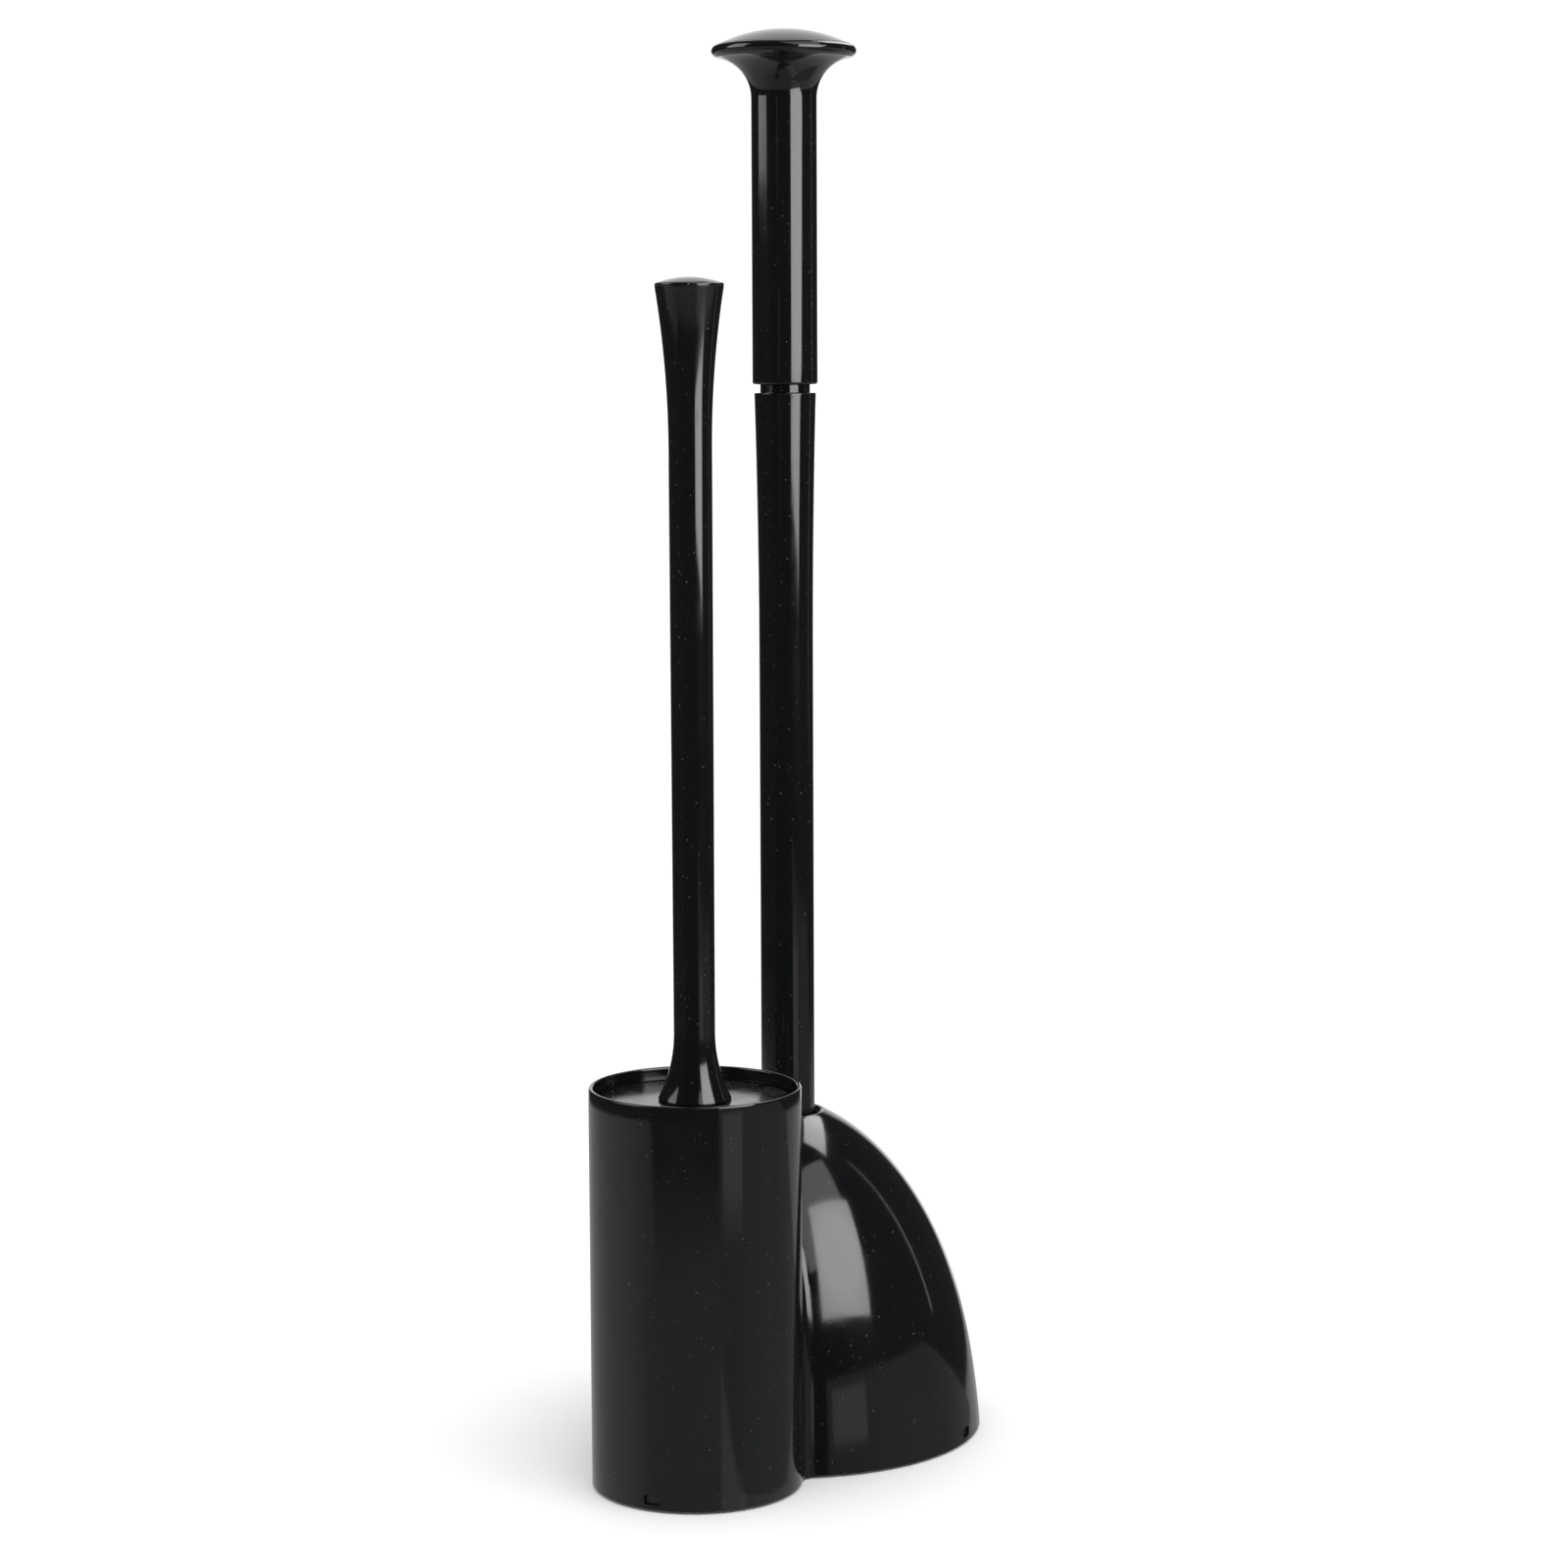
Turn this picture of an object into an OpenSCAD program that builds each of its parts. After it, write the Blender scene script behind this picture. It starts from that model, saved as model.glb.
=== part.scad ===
// Caddy set: one moulding that joins a brush cup to a domed plunger cover, its snap-in base plate,
// the toilet brush that stands in the cup, and the plunger that slides into the dome from behind.
// The floor is Z = 0. X runs from the brush cup (-X) to the dome (+X), and the dome opens towards +Y.

/* [Brush cup] */
// Outer radius of the brush cup
cup_r = 44; // [37:0.5:53]
// Height of the brush cup above its own bottom edge
cup_h = 167.5; // [139:0.5:201]
// Wall of the whole moulding
wall = 2; // [1.6:0.1:2.6]
// How far the splash disc lies below the cup's rim
disc_drop = 5.5; // [4:0.5:12]
// Depth of the ribs that carry the splash disc
rib_depth = 3; // [2:0.5:4]
// Thickness of those ribs
rib_t = 1.8; // [1.2:0.1:2.4]
// Number of those ribs
rib_count = 6; // [3:1:8]

/* [Dome] */
// Radius of the dome at its bottom edge
dome_r = 84; // [72:1:101]
// Height at which the dome's curve would close if it had no hole
dome_h = 146.3; // [122:0.1:176]
// Fullness of the dome's curve: 2 is an ellipse
dome_power = 2.46; // [2:0.02:3]
// How far the dome's curve leans in over its whole height
dome_lean = 13; // [6:0.5:15]
// Radius of the rounded lip round the handle hole
lip_r = 2.4; // [1.5:0.1:3]
// Height where the round top of the rear arch begins
arch_spring_z = 52; // [46:1:60]

/* [Base] */
// How far the rubber feet stand out below the moulding
foot_proud = 1; // [0.5:0.1:2]
// Radius of a rubber foot
foot_r = 7; // [5:0.5:7]
// Depth of a foot's recess in the base plate
foot_recess = 0.8; // [0.4:0.1:1.2]
// Thickness of the base plate
plate_t = 2.4; // [2:0.1:3]
// Height of the platform that the plunger stands on
platform_z = 10; // [9:0.5:14]
// Width of a snap window
window_w = 7; // [5:0.5:10]
// Height of a snap window
window_h = 4; // [3:0.5:5]
// Height of a snap window's lower edge above the floor
window_z = 3; // [2.5:0.5:4]

/* [Brush] */
// Radius of the brush handle at its thinnest
stem_r = 8.55; // [8:0.05:10.3]
// Radius of the brush handle's bore
stem_bore_r = 6.7; // [5.6:0.1:6.8]
// Length of the brush handle
stem_len = 332.5; // [277:0.5:399]
// Radius of the brush handle's foot
stem_foot_r = 15.1; // [12.6:0.1:18]
// Height of the foot's flare
stem_foot_h = 28; // [20:1:34]
// Radius of the brush handle's top
stem_top_r = 14.1; // [11.8:0.1:17]
// Height of the flare below the top
stem_top_h = 65.5; // [50:0.5:80]
// Thickness of the splash disc
disc_t = 2.5; // [2:0.1:3]
// Depth of the splash disc's skirt
skirt_h = 4.5; // [3:0.1:6]
// Radius of the brush head's core
core_r = 11; // [9:0.5:13]
// Number of bristle rows round the core
row_count = 8; // [5:1:9]
// Distance from row to row
row_pitch = 8; // [6.6:0.1:8.5]
// Thickness of a bristle row
row_t = 5; // [4:0.1:6]
// Height of the bristle tips above the cup's floor
tip_clear = 20.6; // [12:0.1:25]
// Length of the end tufts
tip_len = 21; // [15:1:26]

/* [Plunger] */
// Radius of the rubber cup's rim
bell_r = 48; // [40:0.5:58]
// Height of the rubber cup with its neck
bell_h = 82; // [76:1:90]
// Wall of the rubber cup
bell_wall = 3.5; // [2.5:0.1:4.5]
// Radius of the rubber cup's neck
neck_r = 17; // [15:0.5:20]
// Radius of the handle tube
tube_r = 11.65; // [10.8:0.05:14]
// Radius of the handle tube at its shoulder
shoulder_r = 13.25; // [13:0.05:15]
// Wall of the handle tube
tube_wall = 1.8; // [1.4:0.1:2.2]
// Length of the handle tube below its shoulder
tube_len = 359.7; // [300:0.1:431]
// Length of the tube's widening below the shoulder
tube_flare_h = 112; // [80:1:140]
// Radius of the tube's spigot inside the grip
spigot_r = 10.7; // [9.5:0.1:10.9]
// Length of that spigot beyond the groove
spigot_len = 42; // [25:1:60]
// Height of the groove between tube and grip
groove_h = 3.5; // [2:0.5:6]
// Radius of the grip
grip_r = 14; // [13.5:0.1:17]
// Length of the grip from the groove to the knob's underside
grip_len = 137.3; // [115:0.1:165]
// Radius of the knob
knob_r = 30.9; // [26:0.1:37]
// Height of the knob's rim
knob_rim_h = 5.3; // [4:0.1:7]
// Height of the knob's crown
crown_h = 6.8; // [5:0.1:9]

/* [Fits] */
// Room between the rubber cup and the brush cup
bell_gap = 3; // [1:0.1:6]
// Room between the rubber cup and each side of the rear arch
arch_gap = 4; // [2:0.1:6]
// Room round the handle tube in the dome's hole
hole_gap = 1.95; // [1:0.05:3]
// Room between the splash disc and the cup's wall
disc_gap = 0.8; // [0.3:0.1:1.5]
// Room between the bristles and the ribs
bristle_gap = 4; // [1:0.1:6]
// Room between the base plate and the moulding
plate_gap = 0.3; // [0.2:0.05:0.6]
// Room between a piece that rests and what carries it
rest_gap = 0.1; // [0.05:0.05:0.3]
// Room round a plug, spigot or stem in its bore
plug_gap = 0.2; // [0.05:0.05:0.3]

/* [Hidden] */
$fn = 96;
eps = 0.5;

// The two upright axes
axis_gap = cup_r + bell_gap + bell_r;
overall = cup_r + axis_gap + dome_r;
cup_x = cup_r - overall / 2;
dome_x = overall / 2 - dome_r;

// Moulding
rim_z = foot_proud + cup_h;
cup_bore_r = cup_r - wall;
rib_r = cup_bore_r - rib_depth;
hole_r = tube_r + hole_gap;
curve_steps = 28;
arch_r = bell_r + arch_gap;
disc_z = rim_z - disc_drop;
rib_top_z = disc_z - skirt_h - rest_gap;

// Base plate
plate_z = foot_proud;
plate_top_z = plate_z + plate_t;
plate_cup_r = cup_bore_r - plate_gap;
platform_r = bell_r + 1.5;
platform_t = 2;
hook_h = window_z + window_h + 1 - plate_z;
hook_t = 1.8;
// Both walls curve a little, so a flat hook stands back from its wall's lowest line
hook_back = dome_r - dome_at(hook_h, wall) + 2 * plate_gap;
nub_out = 1.4;
foot_t = foot_proud + foot_recess;
foot_ring_r = (dome_r - wall + platform_r) / 2;
cup_foot_ring_r = 28;
feet = [
    for (a = [28, -28, 150, -150]) [dome_x + foot_ring_r * cos(a), foot_ring_r * sin(a)],
    for (a = [130, -130]) [cup_x + cup_foot_ring_r * cos(a), cup_foot_ring_r * sin(a)]
];

// Brush
disc_r = cup_bore_r - disc_gap;
disc_under_z = disc_z - disc_t;
bristle_r = rib_r - bristle_gap;
tip_z = plate_top_z + tip_clear;
core_end_z = tip_z + tip_len;
first_row_z = core_end_z + row_pitch;
core_top_z = first_row_z + (row_count - 1) * row_pitch + row_pitch;
core_neck_r = 7;
core_flange_r = 13;
core_flange_h = 2;
core_spigot_r = stem_bore_r - plug_gap;
core_spigot_len = 24;
stem_top_z = disc_z + stem_len;
cap_edge_h = 1.2;
cap_crown_h = 2.7;
cap_stem_len = 18;
corner = 1.5;

// Plunger
bell_z = platform_z + rest_gap;
neck_top_z = bell_z + bell_h;
socket_depth = 20;
plug_r = 10;
plug_shank_len = 26;
tube_bore_r = tube_r - tube_wall;
spigot_wall = 2;
shoulder_z = neck_top_z + tube_len;
grip_z = shoulder_z + groove_h;
grip_bore_r = spigot_r + plug_gap;
grip_top_z = grip_z + grip_len;
flare_r = knob_r - grip_r;
seat_r = knob_r - 2.5;
knob_z = grip_top_z + knob_rim_h;
seat_z = grip_top_z + 1;
knob_stem_len = 30;

// Radius of the dome at height h above its edge, set in by a wall
function dome_at(h, inset = 0) =
    (dome_r - inset) * sqrt(max(0, 1 - pow(h / (dome_h - inset), dome_power))) - dome_lean * h / dome_h;

// Height at which the dome's curve has narrowed to radius r, found by halving
function dome_height(r, inset, low, high, steps = 30) =
    let (mid = (low + high) / 2)
    steps == 0 ? mid
    : dome_at(mid, inset) > r ? dome_height(r, inset, mid, high, steps - 1)
    : dome_height(r, inset, low, mid, steps - 1);

// Points along the dome's curve from its edge up to radius r, closer together near the top
function dome_curve(r, inset) =
    let (top = dome_height(r, inset, 0, dome_h - inset))
    [for (i = [0 : curve_steps]) let (h = top * sin(90 * i / curve_steps)) [dome_at(h, inset), h]];

// Points on an arc about c from angle a to angle b
function arc(c, r, a, b, steps = 12) =
    [for (i = [0 : steps]) let (t = a + (b - a) * i / steps) c + r * [cos(t), sin(t)]];

// Radius of the arc that leaves an upright line and moves out by dx over a height dz
function flare_arc(dx, dz) = (dx * dx + dz * dz) / (2 * dx);

function reversed(list) = [for (i = [len(list) - 1 : -1 : 0]) list[i]];

module lathe(points) rotate_extrude() polygon(points);

module ring(r_out, r_in, h) difference() {
    cylinder(r = r_out, h = h);
    translate([0, 0, -eps]) cylinder(r = r_in, h = h + 2 * eps);
}

module at_cup() translate([cup_x, 0, 0]) children();
module at_dome() translate([dome_x, 0, 0]) children();

// The three snap points: the cup's end, the dome's front and the dome's end
module at_snaps() {
    at_cup() rotate(180) translate([cup_r, 0, 0]) children();
    at_dome() rotate(-90) translate([dome_r, 0, 0]) children();
    at_dome() translate([dome_r, 0, 0]) children();
}

// The dome's solid, with its rounded lip when it is the outer one
module dome_solid(inset, lip) {
    curve = dome_curve(hole_r + lip, inset);
    top = curve[curve_steps][1];
    lathe(concat(
        [[0, 0]],
        curve,
        lip > 0 ? arc([hole_r + lip, top - lip], lip, 90, 180, 6) : [],
        [[0, lip > 0 ? top - lip : top]]
    ));
}

// The rear arch stands on a sill that is level with the platform
module arch_cut() translate([0, dome_r + eps, 0]) rotate([90, 0, 0])
    linear_extrude(dome_r - platform_r / 2) intersection() {
        union() {
            translate([0, arch_spring_z]) circle(arch_r);
            translate([-arch_r, 0]) square([2 * arch_r, arch_spring_z]);
        }
        translate([-dome_r, platform_z]) square([2 * dome_r, dome_h]);
    }

module holder_shell() color("#141414") {
    difference() {
        union() {
            at_cup() translate([0, 0, foot_proud]) cylinder(r = cup_r, h = cup_h);
            at_dome() translate([0, 0, foot_proud]) difference() {
                dome_solid(0, lip_r);
                translate([0, 0, -eps]) cylinder(r = dome_r - wall, h = 2 * eps);
                dome_solid(wall, 0);
                cylinder(r = hole_r, h = dome_h);
            }
        }
        at_cup() cylinder(r = cup_bore_r, h = rim_z + eps);
        at_dome() cylinder(r = dome_r - wall, h = plate_top_z + plate_gap);
        at_dome() arch_cut();
        at_dome() translate([-hole_r, 0, arch_spring_z]) cube([2 * hole_r, dome_r, dome_h]);
        at_snaps() translate([-2 * wall, -window_w / 2, window_z]) cube([3 * wall, window_w, window_h]);
    }
    at_cup() ribs();
}

module ribs() intersection() {
    for (i = [0 : rib_count - 1]) rotate(180 / rib_count + 360 * i / rib_count)
        translate([rib_r, -rib_t / 2, platform_z])
            cube([rib_depth + wall / 2, rib_t, rib_top_z - platform_z]);
    cylinder(r = cup_bore_r + wall / 2, h = rim_z);
}

module platform_outline(inset) {
    circle(platform_r - inset);
    intersection() {
        translate([inset - platform_r, 0]) square([2 * (platform_r - inset), dome_r]);
        circle(dome_at(platform_z, wall) - plate_gap - inset);
    }
}

module base_plate() color("#1a1a1a") difference() {
    union() {
        at_cup() translate([0, 0, plate_z]) cylinder(r = plate_cup_r, h = plate_t);
        at_dome() translate([0, 0, plate_z]) cylinder(r = dome_at(plate_t, wall) - plate_gap, h = plate_t);
        at_dome() translate([0, 0, plate_z]) linear_extrude(platform_z - plate_z) platform_outline(0);
        hooks();
    }
    at_dome() translate([0, 0, plate_z - eps])
        linear_extrude(platform_z - platform_t - plate_z + eps) platform_outline(platform_t);
    for (p = feet) translate([p[0], p[1], plate_z - eps]) cylinder(r = foot_r, h = foot_recess + eps);
}

// Upright tongues, each with a nub that stands in a snap window
module hooks() at_snaps() {
    translate([-hook_back - hook_t, -window_w / 2, plate_z]) cube([hook_t, window_w, hook_h]);
    translate([-hook_back - eps, plate_gap - window_w / 2, window_z + plate_gap])
        cube([nub_out + eps, window_w - 2 * plate_gap, window_h - 2 * plate_gap]);
}

module foot_pad(i) color("#202020")
    translate([feet[i - 1][0], feet[i - 1][1], 0]) cylinder(r = foot_r - plug_gap, h = foot_t);

module brush_handle() color("#141414") at_cup() {
    foot_dz = stem_foot_h - corner;
    foot_arc_r = flare_arc(stem_foot_r - stem_r, foot_dz);
    waist_r = stem_r + 0.35;
    top_arc_r = flare_arc(stem_top_r - waist_r, stem_top_h);
    lathe(concat(
        [[stem_bore_r, disc_z], [stem_foot_r, disc_z]],
        arc([stem_r + foot_arc_r, disc_z + stem_foot_h], foot_arc_r, 180 + asin(foot_dz / foot_arc_r), 180),
        arc([waist_r + top_arc_r, stem_top_z - stem_top_h], top_arc_r, 180, 180 - asin(stem_top_h / top_arc_r)),
        [[stem_bore_r, stem_top_z]]
    ));
}

module brush_end_cap() color("#141414") at_cup() translate([0, 0, stem_top_z]) {
    crown_r = flare_arc(cap_crown_h, stem_top_r);
    lathe(concat(
        [[0, 0], [stem_top_r, 0], [stem_top_r, cap_edge_h]],
        arc([0, cap_edge_h + cap_crown_h - crown_r], crown_r, acos(stem_top_r / crown_r), 90)
    ));
    translate([0, 0, -cap_stem_len]) cylinder(r = stem_bore_r - plug_gap, h = cap_stem_len + eps);
}

module splash_disc() color("#181818") at_cup() {
    translate([0, 0, disc_under_z]) ring(disc_r, core_spigot_r + plug_gap, disc_t);
    translate([0, 0, disc_z - skirt_h]) ring(disc_r, disc_r - disc_t, skirt_h);
}

module brush_core() color("#1c1c1c") at_cup() {
    translate([0, 0, disc_under_z - core_flange_h]) cylinder(r = core_flange_r, h = core_flange_h);
    translate([0, 0, disc_under_z - eps]) cylinder(r = core_spigot_r, h = core_spigot_len);
    translate([0, 0, core_top_z - eps]) cylinder(r = core_neck_r, h = disc_under_z - core_top_z);
    translate([0, 0, core_end_z]) cylinder(r = core_r, h = core_top_z - core_end_z);
}

module bristle_row(i) color("#e8e8e4") at_cup()
    translate([0, 0, first_row_z + (i - 1) * row_pitch - row_t / 2]) ring(bristle_r, core_r, row_t);

module tip_tufts() color("#e8e8e4") at_cup() lathe([
    [0, core_end_z],
    [core_r - 1, core_end_z],
    [bristle_r - 4, core_end_z - tip_len / 3],
    [bristle_r - 9, tip_z + 3],
    [bristle_r / 2, tip_z],
    [0, tip_z]
]);

module plunger_tube() color("#141414") at_dome() {
    top_arc_r = flare_arc(shoulder_r - tube_r, tube_flare_h);
    spigot_top_z = grip_z + spigot_len;
    bore_top_z = shoulder_z - spigot_wall;
    lathe(concat(
        [[tube_bore_r, neck_top_z], [tube_r, neck_top_z]],
        arc([tube_r + top_arc_r, shoulder_z - tube_flare_h], top_arc_r, 180, 180 - asin(tube_flare_h / top_arc_r)),
        [
            [spigot_r, shoulder_z],
            [spigot_r, spigot_top_z],
            [spigot_r - spigot_wall, spigot_top_z],
            [spigot_r - spigot_wall, bore_top_z],
            [tube_bore_r, bore_top_z]
        ]
    ));
}

module plunger_grip() color("#141414") at_dome() {
    flare_c = [knob_r, grip_top_z - flare_r];
    core_arc_r = knob_r - grip_bore_r;
    lathe(concat(
        [[grip_bore_r, grip_z], [grip_r, grip_z]],
        arc(flare_c, flare_r, 180, 90),
        [[knob_r, knob_z], [seat_r, knob_z], [seat_r, seat_z]],
        arc(flare_c, core_arc_r, 180 - asin((seat_z - flare_c[1]) / core_arc_r), 180)
    ));
}

module knob_cap() color("#141414") at_dome() {
    crown_r = knob_r - corner;
    crown_arc_r = flare_arc(crown_h, crown_r);
    lathe(concat(
        [[0, knob_z - knob_stem_len], [spigot_r, knob_z - knob_stem_len], [spigot_r, seat_z - flare_r / 2]],
        [[spigot_r - wall, seat_z + plug_gap], [seat_r - plug_gap, seat_z + plug_gap]],
        [[seat_r - plug_gap, knob_z], [crown_r, knob_z]],
        arc([0, knob_z + crown_h - crown_arc_r], crown_arc_r, acos(crown_r / crown_arc_r), 90)
    ));
}

module tube_plug() color("#1c1c1c") at_dome() {
    translate([0, 0, neck_top_z - socket_depth]) cylinder(r = plug_r, h = socket_depth);
    translate([0, 0, neck_top_z - eps]) cylinder(r = tube_bore_r - plug_gap, h = plug_shank_len);
}

// Outline of the rubber cup: a bead, a belly and a neck
module rubber_cup() color("#1b1b1b") at_dome() translate([0, 0, bell_z]) {
    bead_h = 6;
    bead_out = 2;
    neck_h = 22;
    belly_r = bell_r - bead_out;
    belly_h = bell_h - neck_h - bead_h;
    inner_r = belly_r - bell_wall;
    inner_h = belly_h - bell_wall;
    shoulder = belly_r - neck_r;
    inner_shoulder = inner_r - plug_r;
    steps = 14;
    difference() {
        lathe(concat(
            [[0, 0], [bell_r, 0], [bell_r, bead_h]],
            [for (i = [0 : steps]) let (t = 90 * i / steps)
                [neck_r + shoulder * cos(t), bead_h + belly_h * sin(t)]],
            [[neck_r, bell_h], [0, bell_h]]
        ));
        lathe(concat(
            [[0, -eps], [inner_r, -eps], [inner_r, bead_h]],
            [for (i = [1 : steps]) let (t = 90 * i / steps)
                [plug_r + inner_shoulder * cos(t), bead_h + inner_h * sin(t)]],
            [[0, bead_h + inner_h]]
        ));
        translate([0, 0, bell_h - socket_depth]) cylinder(r = plug_r, h = socket_depth + eps);
    }
}

holder_shell();
base_plate();
for (i = [1 : len(feet)]) foot_pad(i);
brush_handle();
brush_end_cap();
splash_disc();
brush_core();
for (i = [1 : row_count]) bristle_row(i);
tip_tufts();
plunger_grip();
knob_cap();
plunger_tube();
tube_plug();
rubber_cup();
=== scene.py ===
"""Looks of the toilet brush and plunger caddy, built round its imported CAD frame."""

import math
import random

import bmesh
import bpy
from bpy.props import FloatProperty, FloatVectorProperty, IntProperty, PointerProperty
from mathutils import Euler, Matrix, Vector


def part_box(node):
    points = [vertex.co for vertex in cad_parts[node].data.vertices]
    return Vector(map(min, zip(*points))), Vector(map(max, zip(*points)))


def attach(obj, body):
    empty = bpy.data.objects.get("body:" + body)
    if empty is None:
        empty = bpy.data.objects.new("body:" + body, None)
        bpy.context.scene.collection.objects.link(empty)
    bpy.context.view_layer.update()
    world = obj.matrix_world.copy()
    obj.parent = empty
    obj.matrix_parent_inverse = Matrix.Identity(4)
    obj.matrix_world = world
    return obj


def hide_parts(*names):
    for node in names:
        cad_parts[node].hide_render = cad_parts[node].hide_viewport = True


bl_info = {
    "name": "Toilet brush and plunger caddy",
    "version": (1, 0, 0),
    "blender": (4, 5, 0),
    "location": "3D View > Sidebar > Caddy",
    "description": "Builds a brush cup with a domed plunger cover, the brush and the plunger",
    "category": "Add Mesh",
}

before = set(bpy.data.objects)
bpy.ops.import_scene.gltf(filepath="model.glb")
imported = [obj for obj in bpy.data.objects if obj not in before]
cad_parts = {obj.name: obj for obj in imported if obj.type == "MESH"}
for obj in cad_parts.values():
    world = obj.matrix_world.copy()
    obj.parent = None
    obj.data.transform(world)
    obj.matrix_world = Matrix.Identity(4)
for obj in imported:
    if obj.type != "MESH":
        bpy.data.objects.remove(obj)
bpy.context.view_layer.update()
MM = 0.001
BOXES = {node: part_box(node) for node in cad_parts}


def low(node):
    return BOXES[node][0]


def high(node):
    return BOXES[node][1]


def axis_x(node):
    """Where the upright axis of a turned CAD node stands along X."""
    return (low(node).x + high(node).x) / 2


def radius(node):
    return (high(node).x - low(node).x) / 2


# -------------------- sizes and colours


def length(label, description, default):
    return FloatProperty(
        name=label, description=description, default=default, unit="LENGTH", subtype="DISTANCE"
    )


def colour(label, description, default):
    return FloatVectorProperty(
        name=label, description=description, default=default, subtype="COLOR", size=4, min=0, max=1
    )


class CaddySizes(bpy.types.PropertyGroup):
    """Sizes of the visible pieces. What the CAD frame settles is read from it."""

    cup_x: length("Brush axis", "Place of the brush's upright axis along X", axis_x("brush_handle"))
    dome_x: length("Plunger axis", "Place of the plunger's upright axis along X", axis_x("plunger_tube"))
    wall: length("Wall", "Wall of the moulding", 2 * MM)
    edge_z: length("Bottom edge", "Height of the moulding's bottom edge above the floor", low("holder_shell").z)
    rim_z: length("Cup rim", "Height of the brush cup's rim", high("holder_shell").z)
    dome_r: length("Dome radius", "Radius of the dome at its bottom edge", high("holder_shell").y)
    dome_h: length("Dome curve", "Height at which the dome's curve would close", 146.3 * MM)
    dome_power: FloatProperty(name="Dome fullness", description="2 is an ellipse", default=2.46)
    dome_lean: length("Dome lean", "How far the dome's curve leans in over its height", 13 * MM)
    hole_r: length("Handle hole", "Radius of the hole round the plunger's tube", 13.6 * MM)
    lip_r: length("Lip", "Radius of the rounded lip of the handle hole", 2.4 * MM)
    web_r: length("Web", "Radius of the fillet between cup and dome", 6 * MM)
    arch_r: length("Arch", "Radius of the rear arch", radius("rubber_cup") + 4 * MM)
    arch_spring_z: length("Arch spring", "Height where the arch's round top begins", 52 * MM)
    platform_z: length("Platform", "Height of the platform and of the arch's sill", high("base_plate").z)
    bead_r: length("Bead", "Radius of the bead round the arch", 1.25 * MM)
    rib_count: IntProperty(name="Ribs", description="Ribs that carry the splash disc", default=6)
    bristle_r: length("Brush head", "Radius of the brush head", radius("bristle_row_1"))
    bristle_d: length("Bristle", "Thickness of one bristle", 0.5 * MM)
    tufts_per_row: IntProperty(name="Tufts", description="Tufts in one row", default=20)
    bristles_per_tuft: IntProperty(name="Bristles", description="Bristles in one tuft", default=15)


class CaddyColours(bpy.types.PropertyGroup):
    """Base colours of the materials."""

    plastic: colour("Gloss plastic", "Colour of the moulding and handles", (0.0042, 0.0048, 0.0051, 1))
    satin: colour("Satin plastic", "Colour of the base plate and hidden mouldings", (0.02, 0.02, 0.021, 1))
    rubber: colour("Rubber", "Colour of the rubber cup and the feet", (0.022, 0.022, 0.023, 1))
    bristle: colour("Bristle", "Colour of the nylon bristles", (0.82, 0.82, 0.79, 1))
    floor: colour("Floor", "Colour of the floor", (0.9, 0.9, 0.9, 1))


def sizes():
    return bpy.context.scene.caddy_sizes


def colours():
    return bpy.context.scene.caddy_colours


# -------------------- shader expressions


class Value:
    """A number socket that takes part in Python arithmetic."""

    def __init__(self, nodes, socket):
        self.nodes = nodes
        self.socket = socket

    def _math(self, operation, first, second):
        return self.nodes.value("ShaderNodeMath", {"operation": operation}, {0: first, 1: second})

    def __add__(self, other):
        return self._math("ADD", self, other)

    def __sub__(self, other):
        return self._math("SUBTRACT", self, other)

    def __rsub__(self, other):
        return self._math("SUBTRACT", other, self)

    def __mul__(self, other):
        return self._math("MULTIPLY", self, other)

    __radd__ = __add__
    __rmul__ = __mul__

    def ramp(self, start, end, to_start=0.0, to_end=1.0):
        """Carries this number from one range to another, held at the ends."""
        return self.nodes.value(
            "ShaderNodeMapRange",
            {"interpolation_type": "SMOOTHSTEP"},
            {0: self, 1: start, 2: end, 3: to_start, 4: to_end},
        )


class Nodes:
    """A node tree. One method makes any node."""

    def __init__(self, tree):
        self.tree = tree

    def node(self, kind, settings=None, inputs=None):
        made = self.tree.nodes.new(kind)
        for key, setting in (settings or {}).items():
            setattr(made, key, setting)
        self.feed(made, inputs or {})
        return made

    def value(self, kind, settings, inputs, output=0):
        return Value(self, self.node(kind, settings, inputs).outputs[output])

    def feed(self, node, inputs):
        for key, given in inputs.items():
            given = getattr(given, "socket", given)
            if isinstance(given, bpy.types.NodeSocket):
                self.tree.links.new(given, node.inputs[key])
            else:
                node.inputs[key].default_value = given


class Finish(Nodes):
    """A material with one shader, patterned on the object's own coordinates."""

    def __init__(self, name):
        self.material = bpy.data.materials.new(name)
        self.material.use_nodes = True
        super().__init__(self.material.node_tree)
        self.surface = next(n for n in self.tree.nodes if n.type == "BSDF_PRINCIPLED")

    def noise(self, scale, detail=2.0, stretch=(1, 1, 1)):
        """Noise with so many blobs per metre, stretched along the axes with a small factor."""
        place = self.node("ShaderNodeTexCoord").outputs["Object"]
        place = self.node("ShaderNodeMapping", {}, {"Vector": place, "Scale": stretch}).outputs[0]
        return self.value("ShaderNodeTexNoise", {}, {"Vector": place, "Scale": scale, "Detail": detail})

    def mix(self, factor, first, second):
        return self.node("ShaderNodeMix", {"data_type": "RGBA"}, {0: factor, 6: first, 7: second}).outputs[2]

    def bump(self, height, distance):
        return self.node("ShaderNodeBump", {}, {"Height": height, "Distance": distance}).outputs[0]

    def finish(self, **inputs):
        """Feeds the shader; an underscore in a name stands for a space."""
        self.feed(self.surface, {key.replace("_", " "): given for key, given in inputs.items()})
        return self.material


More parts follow.
